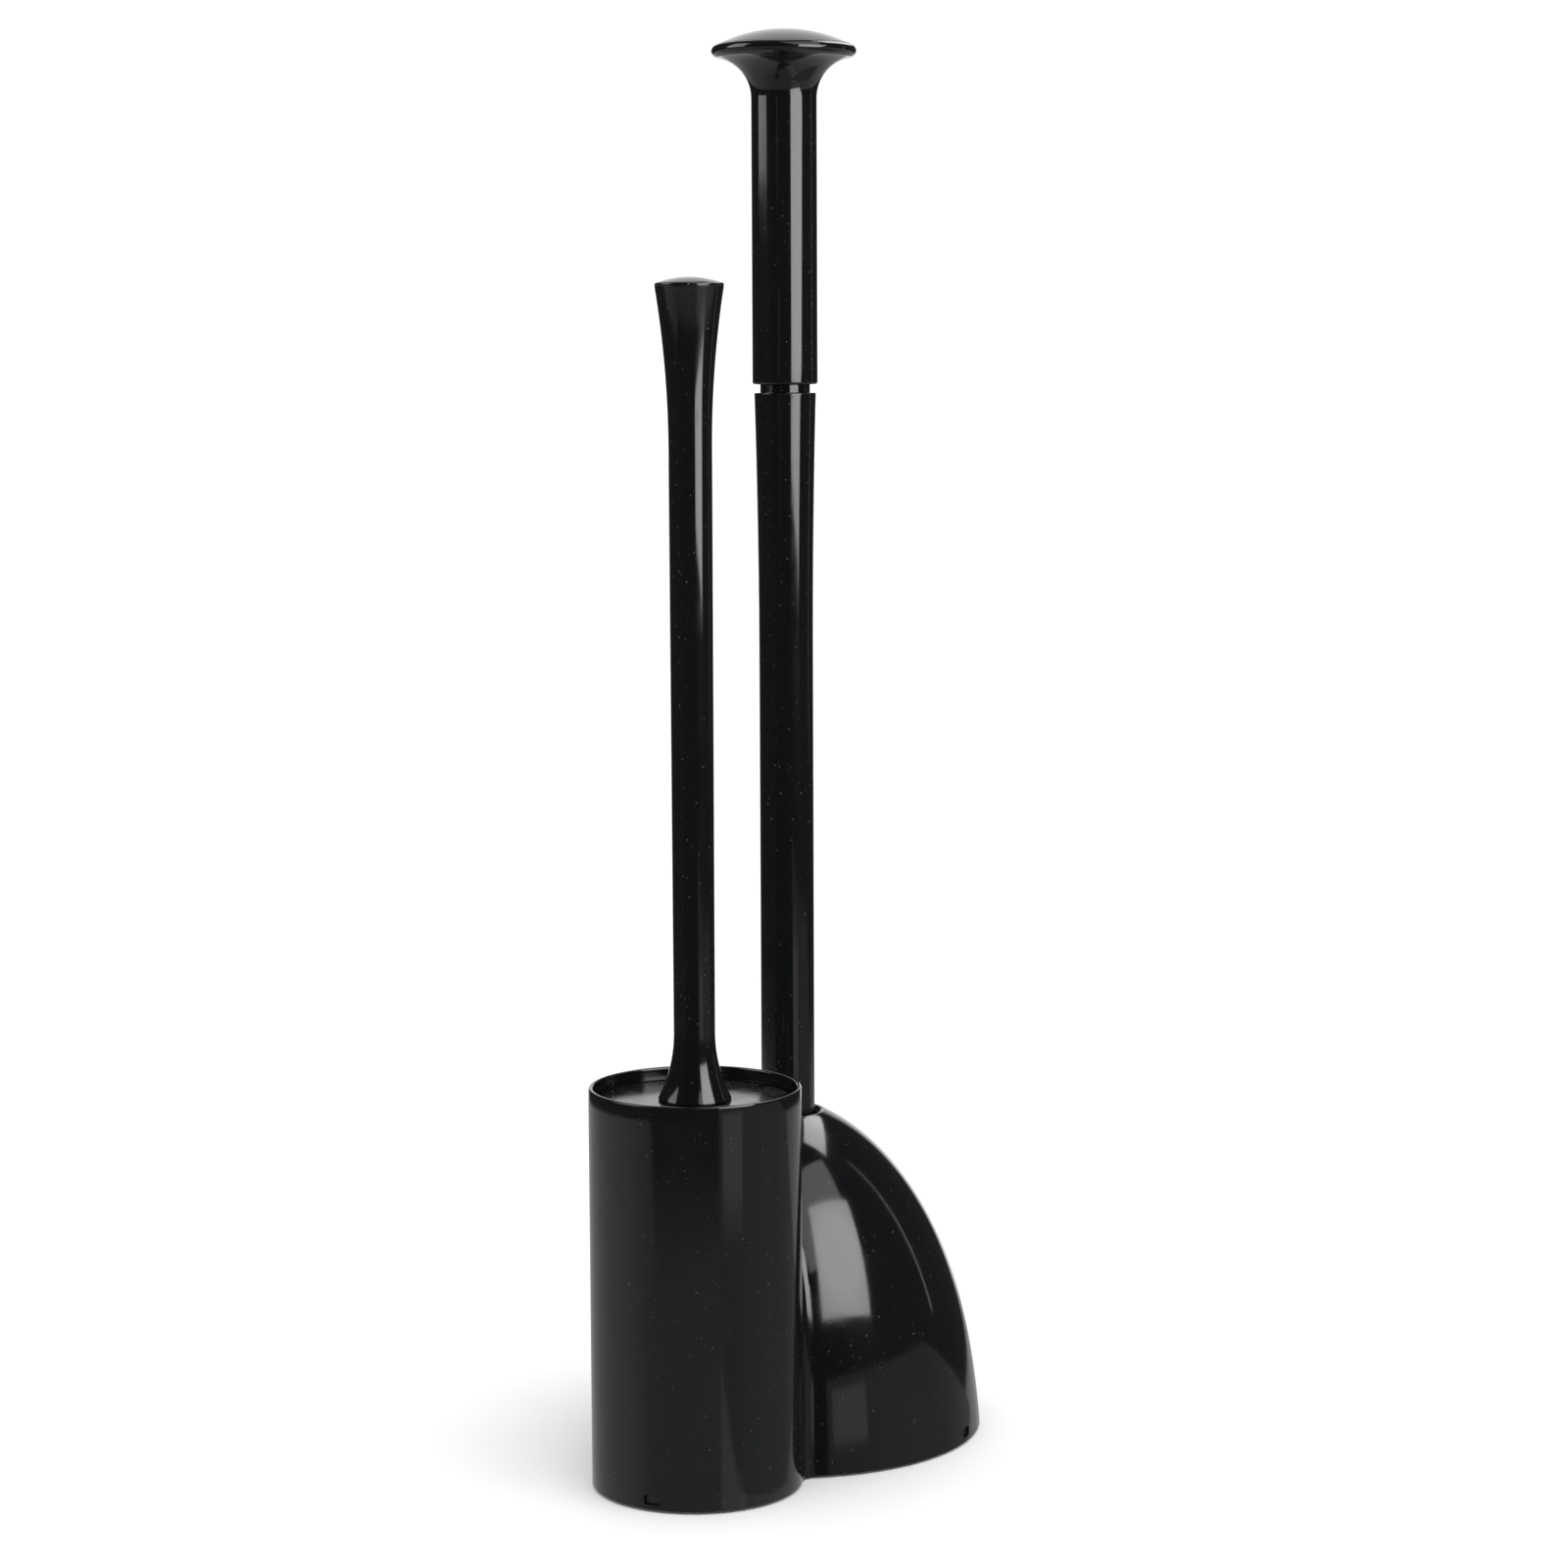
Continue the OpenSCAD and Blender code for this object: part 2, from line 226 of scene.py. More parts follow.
def gloss_plastic(name, dusty):
    """High-gloss moulding: slow waves from the mould, upright flow marks, haze, scuffs and specks of dust."""
    f = Finish(name)
    waves = f.noise(22, 1.0)
    flow = f.noise(140, 2.0, (1, 1, 0.06))
    haze = f.noise(55, 4.0)
    specks = f.noise(900, 1.0).ramp(0.755, 0.79)
    scuffs = f.noise(380, 3.0, (1, 1, 0.2)).ramp(0.66, 0.76)
    return f.finish(
        Base_Color=f.mix(specks * (0.22 * dusty), tuple(colours().plastic), (0.36, 0.36, 0.36, 1)),
        Roughness=haze.ramp(0.35, 0.7, 0.07, 0.115) + specks * 0.3 + scuffs * (0.07 * dusty),
        IOR=1.52,
        Normal=f.bump(waves + flow * 0.03, 0.11 * MM),
    )


def disc_plastic():
    """The disc's face: the same plastic, a little duller, with dried drops and dust."""
    f = Finish("disc_black")
    patches = f.noise(120, 5.0).ramp(0.38, 0.68)
    specks = f.noise(1400, 1.0).ramp(0.70, 0.76)
    return f.finish(
        Base_Color=f.mix(specks * 0.35 + patches * 0.03, tuple(colours().plastic), (0.40, 0.40, 0.40, 1)),
        Roughness=patches * 0.07 + specks * 0.3 + 0.15,
        IOR=1.52,
        Normal=f.bump(f.noise(60, 2.0), 0.08 * MM),
    )


def satin_plastic():
    """Finely spark-eroded black plastic of the pieces that don't show in use."""
    f = Finish("inner_satin_black")
    return f.finish(
        Base_Color=f.mix(f.noise(70, 4.0).ramp(0.4, 0.7) * 0.4, tuple(colours().satin), (0.035, 0.035, 0.036, 1)),
        Roughness=f.noise(90, 3.0).ramp(0.3, 0.7, 0.32, 0.45),
        IOR=1.5,
        Normal=f.bump(f.noise(2400, 2.0), 0.05 * MM),
    )


def rubber(name):
    """Smooth moulded rubber with a faint bloom and dust in its grain."""
    f = Finish(name)
    bloom = f.noise(45, 4.0).ramp(0.35, 0.75)
    return f.finish(
        Base_Color=f.mix(bloom * 0.45, tuple(colours().rubber), (0.060, 0.060, 0.062, 1)),
        Roughness=bloom * 0.16 + 0.44,
        IOR=1.5,
        Normal=f.bump(f.noise(1700, 3.0) + f.noise(160, 2.0) * 0.6, 0.06 * MM),
    )


def nylon_bristle():
    """Milky nylon filament."""
    f = Finish("bristle_white_nylon")
    return f.finish(
        Base_Color=f.mix(f.noise(160, 2.0).ramp(0.3, 0.7), tuple(colours().bristle), (0.66, 0.66, 0.63, 1)),
        Roughness=f.noise(400, 1.0).ramp(0.3, 0.7, 0.28, 0.42),
        IOR=1.53,
    )


MATERIALS = {}
RECIPES = {
    "shell_black": lambda: gloss_plastic("shell_gloss_black", 0.8),
    "handle_black": lambda: gloss_plastic("handle_gloss_black", 1.2),
    "disc_black": disc_plastic,
    "inner_black": satin_plastic,
    "foot_rubber": lambda: rubber("foot_black_rubber"),
    "cup_rubber": lambda: rubber("cup_black_rubber"),
    "bristle_white": nylon_bristle,
}


def material(finish):
    """The material of a finish, made the first time it is asked for."""
    if finish not in MATERIALS:
        MATERIALS[finish] = RECIPES[finish]()
    return MATERIALS[finish]


# -------------------- outlines


def arc(centre, r, start, end, steps=10):
    """Points (radius, height) on an arc, from one angle to another, in degrees."""
    turns = [math.radians(start + (end - start) * i / steps) for i in range(steps + 1)]
    return [(centre[0] + r * math.cos(t), centre[1] + r * math.sin(t)) for t in turns]


def rounded(corners, steps=5):
    """An outline from points (radius, height) and corners (radius, height, rounding), which become arcs."""
    points = []
    corners = [(*corner, 0)[:3] for corner in corners]
    count = len(corners)
    for i, (x, z, r) in enumerate(corners):
        here = Vector((x, z))
        before = Vector(corners[i - 1][:2]) - here
        after = Vector(corners[(i + 1) % count][:2]) - here
        half = before.angle(after) / 2
        if r == 0 or half > math.radians(89):
            points.append((x, z))
            continue
        away = min(r / math.tan(half), 0.49 * min(before.length, after.length))
        r = away * math.tan(half)
        centre = here + (before.normalized() + after.normalized()).normalized() * (r / math.sin(half))
        first = here + before.normalized() * away - centre
        last = here + after.normalized() * away - centre
        for k in range(steps + 1):
            points.append(tuple(centre + first.slerp(last, k / steps) * r))
    return points


def flare_radius(dx, dz):
    """Radius of the arc that leaves an upright line and moves out by dx over a height dz."""
    return (dx * dx + dz * dz) / (2 * dx)


def dome_at(h, inset=0.0):
    """Radius of the dome at height h above its edge, set in by a wall."""
    p = sizes()
    fullness = max(0.0, 1 - (max(0.0, h) / (p.dome_h - inset)) ** p.dome_power)
    return (p.dome_r - inset) * math.sqrt(fullness) - p.dome_lean * h / p.dome_h


def dome_height(r, inset=0.0):
    """Height at which the dome's curve has narrowed to radius r."""
    bottom, top = 0.0, sizes().dome_h - inset
    for _ in range(40):
        middle = (bottom + top) / 2
        if dome_at(middle, inset) > r:
            bottom = middle
        else:
            top = middle
    return bottom


# -------------------- modelling by operators


def object_mode():
    if bpy.context.mode != "OBJECT":
        bpy.ops.object.mode_set(mode="OBJECT")


def pick(*objects):
    """Selects these objects alone and makes the first one active."""
    object_mode()
    bpy.ops.object.select_all(action="DESELECT")
    for o in objects:
        o.select_set(True)
    bpy.context.view_layer.objects.active = objects[0]


def add(primitive, name, **settings):
    """Adds a primitive with nothing else selected, and names it."""
    bpy.ops.object.select_all(action="DESELECT")
    primitive(**settings)
    obj = bpy.context.object
    obj.name = obj.data.name = name
    return obj


def edit(obj):
    """Goes into edit mode on vertices, and gives the mesh to edit."""
    pick(obj)
    bpy.ops.object.mode_set(mode="EDIT")
    bpy.ops.mesh.select_mode(type="VERT")
    return bmesh.from_edit_mesh(obj.data)


def settle(obj):
    """Puts a finished piece's place into its mesh."""
    pick(obj)
    bpy.ops.object.transform_apply(location=True, rotation=True, scale=True)
    return obj


def tidy_normals(obj):
    edit(obj)
    bpy.ops.mesh.select_all(action="SELECT")
    bpy.ops.mesh.remove_doubles(threshold=1e-6)
    bpy.ops.mesh.normals_make_consistent(inside=False)
    object_mode()


def lathe(name, outline, x, steps=96):
    """Turns an outline of (radius, height) points about the upright axis at x.
    The outline closes on itself, or along the axis if it starts and ends there."""
    obj = add(bpy.ops.mesh.primitive_plane_add, name, size=MM, location=(0, 0, 0))
    mesh = edit(obj)
    bpy.ops.mesh.select_all(action="DESELECT")
    mesh.verts.ensure_lookup_table()
    for v in mesh.verts[1:]:
        v.select = True
    bmesh.update_edit_mesh(obj.data)
    bpy.ops.mesh.delete(type="VERT")
    mesh = bmesh.from_edit_mesh(obj.data)
    mesh.verts.ensure_lookup_table()
    mesh.verts[0].co = (x + outline[0][0], 0, outline[0][1])
    mesh.verts[0].select = True
    mesh.select_flush(True)
    bmesh.update_edit_mesh(obj.data)
    on_axis = max(outline[0][0], outline[-1][0]) < 1e-9
    for before, after in zip(outline, outline[1:] + ([] if on_axis else outline[:1])):
        step = (after[0] - before[0], 0, after[1] - before[1])
        bpy.ops.mesh.extrude_vertices_move(TRANSFORM_OT_translate={"value": step})
    bpy.ops.mesh.select_all(action="SELECT")
    bpy.ops.mesh.spin(steps=steps, angle=math.tau, center=(x, 0, 0), axis=(0, 0, 1))
    object_mode()
    tidy_normals(obj)
    return obj


def modify(obj, kind, **settings):
    """Adds a modifier and applies it."""
    pick(obj)
    made = obj.modifiers.new(kind.lower(), kind)
    for key, setting in settings.items():
        setattr(made, key, setting)
    bpy.ops.object.modifier_apply(modifier=made.name)


def boolean(obj, tool, operation):
    """Joins to, cuts by or meets with a tool, which is used up."""
    modify(obj, "BOOLEAN", object=tool, operation=operation, solver="MANIFOLD")
    bpy.data.objects.remove(tool)
    return obj


def block(name, lowest, highest, rounding=0.0):
    """A box between two corners, with rounded edges if asked."""
    a, b = Vector(lowest), Vector(highest)
    obj = add(bpy.ops.mesh.primitive_cube_add, name, size=1, location=(a + b) / 2)
    obj.scale = b - a
    settle(obj)
    if rounding:
        edit(obj)
        bpy.ops.mesh.select_all(action="SELECT")
        bpy.ops.mesh.bevel(offset=rounding, segments=3, affect="EDGES")
        object_mode()
    return obj


def drum(name, r, bottom, top, x, y=0.0, steps=128):
    """An upright cylinder."""
    place = (x, y, (top + bottom) / 2)
    return settle(add(
        bpy.ops.mesh.primitive_cylinder_add, name, vertices=steps, radius=r, depth=top - bottom, location=place
    ))


def rotation(degrees, axis="Z"):
    return Matrix.Rotation(math.radians(degrees), 4, axis)


def turn(obj, degrees, x):
    """Turns a piece's mesh about the upright axis at x."""
    about = Matrix.Translation((x, 0, 0))
    obj.data.transform(about @ rotation(degrees) @ about.inverted())
    return obj


def join(obj, *others):
    pick(obj, *others)
    bpy.ops.object.join()
    return obj


def wire(name, points, r, sides):
    """A round bead along points, as a mesh."""
    curve = bpy.data.curves.new(name, "CURVE")
    curve.dimensions = "3D"
    curve.bevel_depth = r
    curve.bevel_resolution = sides
    curve.use_fill_caps = True
    line = curve.splines.new("POLY")
    line.points.add(len(points) - 1)
    for point, place in zip(line.points, points):
        point.co = (*place, 1)
    obj = bpy.data.objects.new(name, curve)
    bpy.context.scene.collection.objects.link(obj)
    pick(obj)
    bpy.ops.object.convert(target="MESH")
    obj = bpy.context.object
    tidy_normals(obj)
    return obj


def finished(obj, name, slot, body, nodes, finish=None):
    """The last steps of every piece: name, shading, material (the slot's finish unless another is given), body and
    the CAD nodes it stands for.
    """
    pick(obj)
    obj.name = obj.data.name = name
    bpy.ops.object.shade_smooth_by_angle(angle=math.radians(32))
    obj.data.materials.clear()
    obj.data.materials.append(material(finish or slot))
    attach(obj, body)
    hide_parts(*nodes)


# -------------------- holder


def cup_radius():
    return sizes().cup_x - low("holder_shell").x


def cup_tube():
    """The brush cup's wall, open at both ends, with a rounded rim."""
    p = sizes()
    outer, inner = cup_radius(), cup_radius() - p.wall
    z = p.edge_z
    rows = 24
    side = [(outer, z + (p.rim_z - z) * i / rows) for i in range(1, rows)]
    outline = [(inner, z, 0.3 * MM), (outer, z, 0.4 * MM), *side]
    outline += [(outer, p.rim_z, 0.95 * MM), (inner, p.rim_z, 0.95 * MM)]
    outline += [(inner, height) for _, height in reversed(side)]
    return lathe("cup_tube", rounded(outline), p.cup_x, 192)


def dome_curve(r, inset, steps):
    """Points up the dome's curve from its edge to radius r, closer together near the top."""
    p = sizes()
    top = dome_height(r, inset)
    rise = [top * math.sin(math.radians(90 * i / steps)) for i in range(steps + 1)]
    return [(dome_at(h, inset), p.edge_z + h) for h in rise]


def dome_shell():
    """The dome's wall with the rounded lip of the handle hole."""
    p = sizes()
    outer = dome_curve(p.hole_r + p.lip_r, 0.0, 56)
    inner = dome_curve(p.hole_r, p.wall, 44)
    lip = arc((p.hole_r + p.lip_r, outer[-1][1] - p.lip_r), p.lip_r, 90, 180, 8)
    edge = [(dome_at(0) - 0.4 * MM, p.edge_z), (dome_at(0) - 0.1 * MM, p.edge_z + 0.12 * MM)]
    outline = edge + outer[1:] + lip[1:] + inner[::-1]
    return lathe("dome_shell", outline, p.dome_x, 256)


def web_ball(turn_by):
    """Where a ball of the web's radius rests against cup and dome, at an angle round the cup.
    Gives its centre and the two points where it touches."""
    p = sizes()
    out = Vector((math.cos(turn_by), math.sin(turn_by), 0))
    centre = Vector((p.cup_x, 0, 0)) + out * (cup_radius() + p.web_r)
    spoke = centre - Vector((p.dome_x, 0, 0))

    def contact(h):
        """Point of the dome's curve at height h, and the direction it faces there."""
        step = 0.01 * MM
        slope = (dome_at(h + step) - dome_at(h - step)) / (2 * step)
        return Vector((dome_at(h), h)), Vector((1, -slope)).normalized()

    below, above = -4 * MM, p.dome_h - MM
    for _ in range(50):
        middle = (below + above) / 2
        point, facing = contact(middle)
        if point.x + facing.x * p.web_r > spoke.length:
            below = middle
        else:
            above = middle
    point, facing = contact(below)
    spoke.normalize()
    centre.z = p.edge_z + point.y + facing.y * p.web_r
    on_cup = centre - out * p.web_r
    on_dome = Vector((p.dome_x, 0, p.edge_z + point.y)) + spoke * point.x
    return centre, on_cup, on_dome


def web_root(centre, way):
    """The point just inside the walls where cup and dome meet, going one way from the ball's centre."""
    p = sizes()
    reach = p.web_r
    while True:
        reach += 0.1 * MM
        point = centre + way * reach
        in_cup = (point.xy - Vector((p.cup_x, 0))).length < cup_radius()
        in_dome = (point.xy - Vector((p.dome_x, 0))).length < dome_at(point.z - p.edge_z)
        if in_cup or in_dome:
            return point + way * 0.8 * MM


def web():
    """The concave fillet that runs up one side of the crease between cup and dome, over it and down."""
    p = sizes()
    reach = cup_radius() + p.web_r
    between = p.dome_x - p.cup_x
    rest = dome_at(-3 * MM) + p.web_r
    limit = math.acos((reach ** 2 + between ** 2 - rest ** 2) / (2 * reach * between))
    stations, across = 110, 12
    obj = add(bpy.ops.mesh.primitive_grid_add, "web", x_subdivisions=across, y_subdivisions=stations, size=1)
    for j in range(stations + 1):
        centre, on_cup, on_dome = web_ball(limit * math.sin((j / stations - 0.5) * math.pi))
        first, last = on_cup - centre, on_dome - centre
        row = [centre + first.slerp(last, i / (across - 2)) * p.web_r for i in range(across - 1)]
        row[0] += first.normalized() * 0.05 * MM
        row[-1] += last.normalized() * 0.05 * MM
        row.append(web_root(centre, (first + last).normalized()))
        row.append(row[0])
        for i, place in enumerate(row):
            obj.data.vertices[j * (across + 1) + i].co = place
    edit(obj)
    bpy.ops.mesh.select_all(action="SELECT")
    bpy.ops.mesh.remove_doubles(threshold=1e-6)
    bpy.ops.mesh.fill_holes(sides=0)
    bpy.ops.mesh.bisect(plane_co=(0, 0, p.edge_z), plane_no=(0, 0, 1), use_fill=True, clear_inner=True)
    object_mode()
    tidy_normals(obj)
    return obj


class CADDY_OT_holder(bpy.types.Operator):
    """Model the moulding: brush cup, dome, web, snap windows and rear arch"""

    bl_idname = "caddy.holder"
    bl_label = "Holder moulding"

    def execute(self, context):
        p = sizes()
        cup = cup_tube()
        dome = dome_shell()
        core = drum("core", cup_radius() - p.wall / 2, -10 * MM, p.rim_z, p.cup_x, steps=192)
        boolean(dome, core, "DIFFERENCE")
        shell = boolean(cup, dome, "UNION")
        boolean(shell, web(), "UNION")
        cut_arch(shell)
        cut_windows(shell)
        boolean(shell, ribs(), "UNION")
        boolean(shell, arch_bead(), "UNION")
        finished(shell, "holder_shell_visual", "shell_black", "holder", ["holder_shell"])
        return {"FINISHED"}


def cut_arch(shell):
    """Cuts the rear arch, and the slot from it up to the handle hole."""
    p = sizes()
    arch = drum("arch", p.arch_r, p.dome_r * 0.25, p.dome_r * 1.2, 0, steps=128)
    arch.data.transform(rotation(-90, "X"))
    arch.data.transform(Matrix.Translation((p.dome_x, 0, p.arch_spring_z)))
    legs = block(
        "legs",
        (p.dome_x - p.arch_r, p.dome_r * 0.25, p.platform_z),
        (p.dome_x + p.arch_r, p.dome_r * 1.2, p.arch_spring_z),
    )
    boolean(arch, legs, "UNION")
    sill = block("sill", (-p.dome_r * 2, 0, -p.dome_r), (p.dome_r * 3, p.dome_r * 2, p.platform_z))
    boolean(arch, sill, "DIFFERENCE")
    boolean(shell, arch, "DIFFERENCE")
    slot = block(
        "slot",
        (p.dome_x - p.hole_r, 0, p.arch_spring_z),
        (p.dome_x + p.hole_r, p.dome_r * 1.2, p.edge_z + p.dome_h),
    )
    boolean(shell, slot, "DIFFERENCE")


def at_snaps(make):
    """Makes a piece at each snap point: the cup's end, the dome's front and the dome's end.
    make gives a piece for a wall that stands at x = 0 and faces +X."""
    p = sizes()
    places = [(180, p.cup_x, cup_radius()), (-90, p.dome_x, p.dome_r), (0, p.dome_x, p.dome_r)]
    made = []
    for degrees, x, r in places:
        obj = make()
        obj.data.transform(Matrix.Translation((x, 0, 0)) @ rotation(degrees) @ Matrix.Translation((r, 0, 0)))
        made.append(obj)
    return made


WINDOW_LOW, WINDOW_HIGH, WINDOW_HALF = 3 * MM, 7 * MM, 3.5 * MM  # lowest, highest, half its width


def cut_windows(shell):
    """Cuts the snap windows near the bottom edge."""
    def window():
        return block("window", (-4 * MM, -WINDOW_HALF, WINDOW_LOW), (2 * MM, WINDOW_HALF, WINDOW_HIGH), 0.5 * MM)

    for tool in at_snaps(window):
        boolean(shell, tool, "DIFFERENCE")


def ribs():
    """The ribs in the cup that carry the splash disc."""
    p = sizes()
    inner = cup_radius() - p.wall
    top = low("splash_disc").z - 0.1 * MM
    made = []
    for i in range(p.rib_count):
        rib = block(
            "rib",
            (p.cup_x + inner - 3 * MM, -0.9 * MM, p.platform_z),
            (p.cup_x + inner + 0.6 * MM, 0.9 * MM, top),
            0.3 * MM,
        )
        made.append(turn(rib, (i + 0.5) * 360 / p.rib_count, p.cup_x))
    return join(*made)


def arch_bead():
    """A moulded bead that stiffens the edge of the arch, the slot and the handle hole's back."""
    p = sizes()
    half_wall = p.wall / 2
    set_back = 0.75 * MM

    def on_dome(x, z):
        r = dome_at(z - p.edge_z, half_wall)
        return Vector((p.dome_x + x, math.sqrt(r * r - x * x), z))

    def half_outline():
        """One side of the opening from the sill up to the handle hole, as (x, z)."""
        r = p.arch_r + set_back
        side = p.hole_r + set_back
        foot = p.platform_z + 0.2 * MM
        legs = [(r, foot + (p.arch_spring_z - foot) * i / 12) for i in range(12)]
        stop = math.degrees(math.acos(side / r))
        top = [(r * math.cos(t), p.arch_spring_z + r * math.sin(t))
               for t in (math.radians(stop * i / 30) for i in range(31))]
        peak = p.edge_z + dome_height(side + 2.5 * MM, half_wall)
        neck = top[-1][1]
        slot = [(side, neck + (peak - neck) * i / 14) for i in range(1, 15)]
        return legs + top + slot

    beads = []
    for sign in (1, -1):
        points = [on_dome(sign * x, z) for x, z in half_outline()]
        beads.append(wire("bead", points, p.bead_r, sides=4))
    return join(*beads)


class CADDY_OT_base(bpy.types.Operator):
    """Model the snap-in base plate and its rubber feet"""

    bl_idname = "caddy.base"
    bl_label = "Base plate and feet"

    def execute(self, context):
        p = sizes()
        gap, plate_t, under_t = 0.3 * MM, 2.4 * MM, 2 * MM
        hook_t, hook_top, nub_out, recess_r = 1.8 * MM, 8 * MM, 1.4 * MM, 7 * MM
        bottom, top = low("base_plate").z, low("base_plate").z + plate_t
        inner_dome = dome_at(top - p.edge_z, p.wall) - gap
        plate = drum("plate", inner_dome, bottom, top, p.dome_x, steps=192)
        boolean(plate, drum("cup_plate", cup_radius() - p.wall - gap, bottom, top, p.cup_x), "UNION")
        boolean(plate, self.platform(0, bottom), "UNION")
        boolean(plate, self.platform(under_t, bottom - MM, under_t), "DIFFERENCE")
        back = p.dome_r - dome_at(hook_top - p.edge_z, p.wall) + 2 * gap

        def hook():
            tongue = block("tongue", (-back - hook_t, -WINDOW_HALF, bottom), (-back, WINDOW_HALF, hook_top))
            nub = block(
                "nub",
                (-back - 0.5 * MM, -WINDOW_HALF + gap, WINDOW_LOW + gap),
                (-back + nub_out, WINDOW_HALF - gap, WINDOW_HIGH - gap),
            )
            return boolean(tongue, nub, "UNION")

        for made in at_snaps(hook):
            boolean(plate, made, "UNION")
        feet = [f"foot_pad_{i}" for i in range(1, 7)]
        for foot in feet:
            middle = (low(foot) + high(foot)) / 2
            recess = drum("recess", recess_r, 0, high(foot).z, middle.x, middle.y, 48)
            boolean(plate, recess, "DIFFERENCE")
            self.foot(foot, middle)
        modify(plate, "BEVEL", width=0.35 * MM, segments=2, limit_method="ANGLE", angle_limit=math.radians(40))
        finished(plate, "base_plate_visual", "inner_black", "holder", ["base_plate"])
        return {"FINISHED"}

    def platform(self, inset, bottom, drop=0.0):
        """The round platform with its run-out to the sill."""
        p = sizes()
        r = radius("rubber_cup") + 1.5 * MM - inset
        top = p.platform_z - drop
        made = drum("platform", r, bottom, top, p.dome_x, steps=160)
        boolean(made, block("run_out", (p.dome_x - r, 0, bottom), (p.dome_x + r, p.dome_r, top)), "UNION")
        edge = dome_at(p.platform_z - p.edge_z, p.wall) - 0.35 * MM - inset
        return boolean(made, drum("edge", edge, bottom - MM, top + MM, p.dome_x, steps=192), "INTERSECT")

    def foot(self, node, middle):
        """A round rubber foot with a ring groove in its sole."""
        r, top = radius(node), high(node).z
        outline = rounded([
            (0, 0), (r * 0.50, 0, 0.15 * MM), (r * 0.54, 0.4 * MM), (r * 0.62, 0.4 * MM),
            (r * 0.66, 0, 0.15 * MM), (r, 0, 0.4 * MM), (r, top, 0.2 * MM), (0, top),
        ])
        made = lathe(node + "_visual", outline, 0, 48)
        made.data.transform(Matrix.Translation((middle.x, middle.y, 0)))
        finished(made, node + "_visual", "foot_rubber", "holder", [node])


# -------------------- brush


class CADDY_OT_brush_handle(bpy.types.Operator):
    """Model the brush's tapered handle and the cap in its top"""

    bl_idname = "caddy.brush_handle"
    bl_label = "Brush handle"

    def execute(self, context):
        p = sizes()
        bottom, top = low("brush_handle").z, high("brush_handle").z
        bore, foot_r, top_r = 6.7 * MM, radius("brush_handle"), radius("brush_end_cap")
        waist, upper_waist = 8.55 * MM, 8.9 * MM
        foot_h, flare_h = 28 * MM, 65.5 * MM
        foot_dz = foot_h - 0.7 * MM
        foot_arc = flare_radius(foot_r - waist, foot_dz)
        top_arc = flare_radius(top_r - upper_waist, flare_h)
        foot = arc((waist + foot_arc, bottom + foot_h), foot_arc,
                   180 + math.degrees(math.asin(foot_dz / foot_arc)), 180, 22)
        flare = arc((upper_waist + top_arc, top - flare_h), top_arc,
                    180, 180 - math.degrees(math.asin((flare_h - 0.2 * MM) / top_arc)), 26)
        stem = [(waist + (upper_waist - waist) * i / 12,
                 bottom + foot_h + (top - flare_h - bottom - foot_h) * i / 12) for i in range(1, 12)]
        outline = [(bore, bottom), (foot_r, bottom, 0.3 * MM), (*foot[0], 0.3 * MM), *foot[1:], *stem, *flare]
        outline += [(top_r, top, 0.3 * MM), (bore, top)]
        handle = lathe("handle", rounded(outline), p.cup_x, 96)
        finished(handle, "brush_handle_visual", "handle_black", "brush", ["brush_handle"])

        cap_top = high("brush_end_cap").z
        edge = 1.2 * MM
        crown = flare_radius(cap_top - top - edge, top_r)
        start = math.degrees(math.acos((top_r - 1.2 * MM) / crown))
        dome = arc((0, cap_top - crown), crown, start, 90, 14)
        stem_r = bore - 0.2 * MM
        outline = [
            (0, low("brush_end_cap").z), (stem_r, low("brush_end_cap").z, 0.5 * MM), (stem_r, top + 0.02 * MM),
            (top_r, top + 0.02 * MM, 0.3 * MM), (top_r, top + edge, 0.8 * MM), *dome,
        ]
        cap = lathe("cap", rounded(outline), p.cup_x, 96)
        finished(cap, "brush_end_cap_visual", "handle_black", "brush", ["brush_end_cap"])
        return {"FINISHED"}


DISC_T = 2.5 * MM


class CADDY_OT_splash_disc(bpy.types.Operator):
    """Model the round disc that closes the cup"""

    bl_idname = "caddy.splash_disc"
    bl_label = "Splash disc"

    def execute(self, context):
        r, top, bottom = radius("splash_disc"), high("splash_disc").z, low("splash_disc").z
        bore, dish = 6.7 * MM, 0.25 * MM
        under = top - DISC_T
        outline = rounded([
            (bore, under, 0.2 * MM), (r - 2.5 * MM, under, 0.6 * MM), (r - 2.5 * MM, bottom, 0.4 * MM),
            (r, bottom, 0.4 * MM), (r, top, 1.1 * MM), (17 * MM, top - dish, 4 * MM), (bore, top - dish, 0.2 * MM),
        ])
        disc = lathe("disc", outline, sizes().cup_x, 160)
        finished(disc, "splash_disc_visual", "shell_black", "brush", ["splash_disc"], "disc_black")
        return {"FINISHED"}


class CADDY_OT_brush_core(bpy.types.Operator):
    """Model the core of the brush head with its flange and spigot"""

    bl_idname = "caddy.brush_core"
    bl_label = "Brush head core"

    def execute(self, context):
        bottom, top = low("brush_core").z, high("brush_core").z
        under = high("splash_disc").z - DISC_T
        neck_top = under - 2 * MM
        head_top = high("bristle_row_8").z + 5.5 * MM
        outline = rounded([
            (0, bottom), (11 * MM, bottom, 1.5 * MM), (11 * MM, head_top, 1.5 * MM),
            (7 * MM, head_top + 2 * MM, MM), (7 * MM, neck_top, MM), (13 * MM, neck_top, 0.5 * MM),
            (13 * MM, under, 0.3 * MM), (6.5 * MM, under), (6.5 * MM, top, 0.6 * MM), (0, top),
        ])
        core = lathe("core", outline, sizes().cup_x, 96)
        finished(core, "brush_core_visual", "inner_black", "brush", ["brush_core"])
        return {"FINISHED"}


